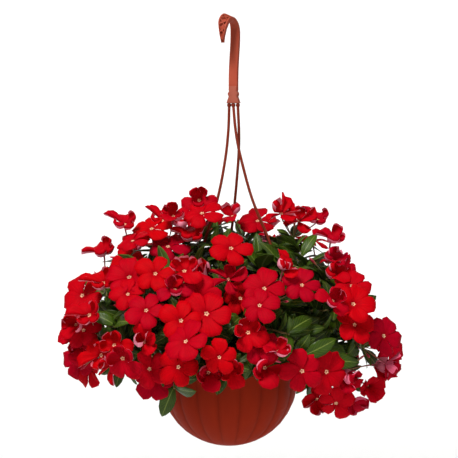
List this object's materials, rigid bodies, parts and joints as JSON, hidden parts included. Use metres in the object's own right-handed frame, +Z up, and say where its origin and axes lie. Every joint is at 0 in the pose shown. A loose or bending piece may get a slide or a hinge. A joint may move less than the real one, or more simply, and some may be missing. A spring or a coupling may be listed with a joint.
{
  "type": "potted madagascar periwinkle in a hanging bowl",
  "caption": "Dome of red five-petalled periwinkle blooms over glossy leaves, grown in a fluted plastic hanging bowl with a moulded three-legged hook hanger.",
  "frame": {"origin": "centre of the bowl's flat foot", "axes": "+Z up the bowl's axis to the hook, -Y to the side that faces the viewer, +X to the viewer's right"},
  "size_m": [0.4751, 0.4689, 0.6035],
  "materials": {
    "terracotta_plastic": "moulded polypropylene, fluted outside, satin",
    "brick_plastic": "moulded polypropylene, soft gloss",
    "potting_mix": "damp peat and bark with white perlite",
    "leaf": "glossy dark green leaf with a pale midrib, on green stems",
    "petal": "velvety red petals, pink beneath, with a pale eye"
  },
  "bodies": {
    "root": {"blooms_back_1": "petal", "blooms_back_10": "petal", "blooms_back_11": "petal", "blooms_back_12": "petal", "blooms_back_2": "petal", "blooms_back_3": "petal", "blooms_back_4": "petal", "blooms_back_5": "petal", "blooms_back_6": "petal", "blooms_back_7": "petal", "blooms_back_8": "petal", "blooms_back_9": "petal", "blooms_centre": "petal", "blooms_centre_left": "petal", "blooms_centre_right": "petal", "blooms_crown_back": "petal", "blooms_crown_left": "petal", "blooms_crown_right": "petal", "blooms_flank_left": "petal", "blooms_flank_right": "petal", "blooms_front_left": "petal", "blooms_front_right": "petal", "blooms_low_left": "petal", "blooms_low_right": "petal", "blooms_middle_left": "petal", "blooms_ridge_left": "petal", "blooms_shoulder_left": "petal", "blooms_shoulder_right": "petal", "blooms_skirt_centre": "petal", "blooms_skirt_left": "petal", "blooms_skirt_right": "petal", "blooms_tip_left": "petal", "blooms_tip_right": "petal", "blooms_upper_left": "petal", "bowl": "terracotta_plastic", "hanger_hook": "brick_plastic", "hanger_leg_back": "brick_plastic", "hanger_leg_left": "brick_plastic", "hanger_leg_right": "brick_plastic", "soil": "potting_mix", "stem_01": "leaf", "stem_02": "leaf", "stem_03": "leaf", "stem_04": "leaf", "stem_05": "leaf", "stem_06": "leaf", "stem_07": "leaf", "stem_08": "leaf", "stem_09": "leaf", "stem_10": "leaf", "stem_11": "leaf", "stem_12": "leaf", "stem_13": "leaf", "stem_14": "leaf", "stem_15": "leaf", "stem_16": "leaf", "stem_17": "leaf"}
  },
  "joints": []
}
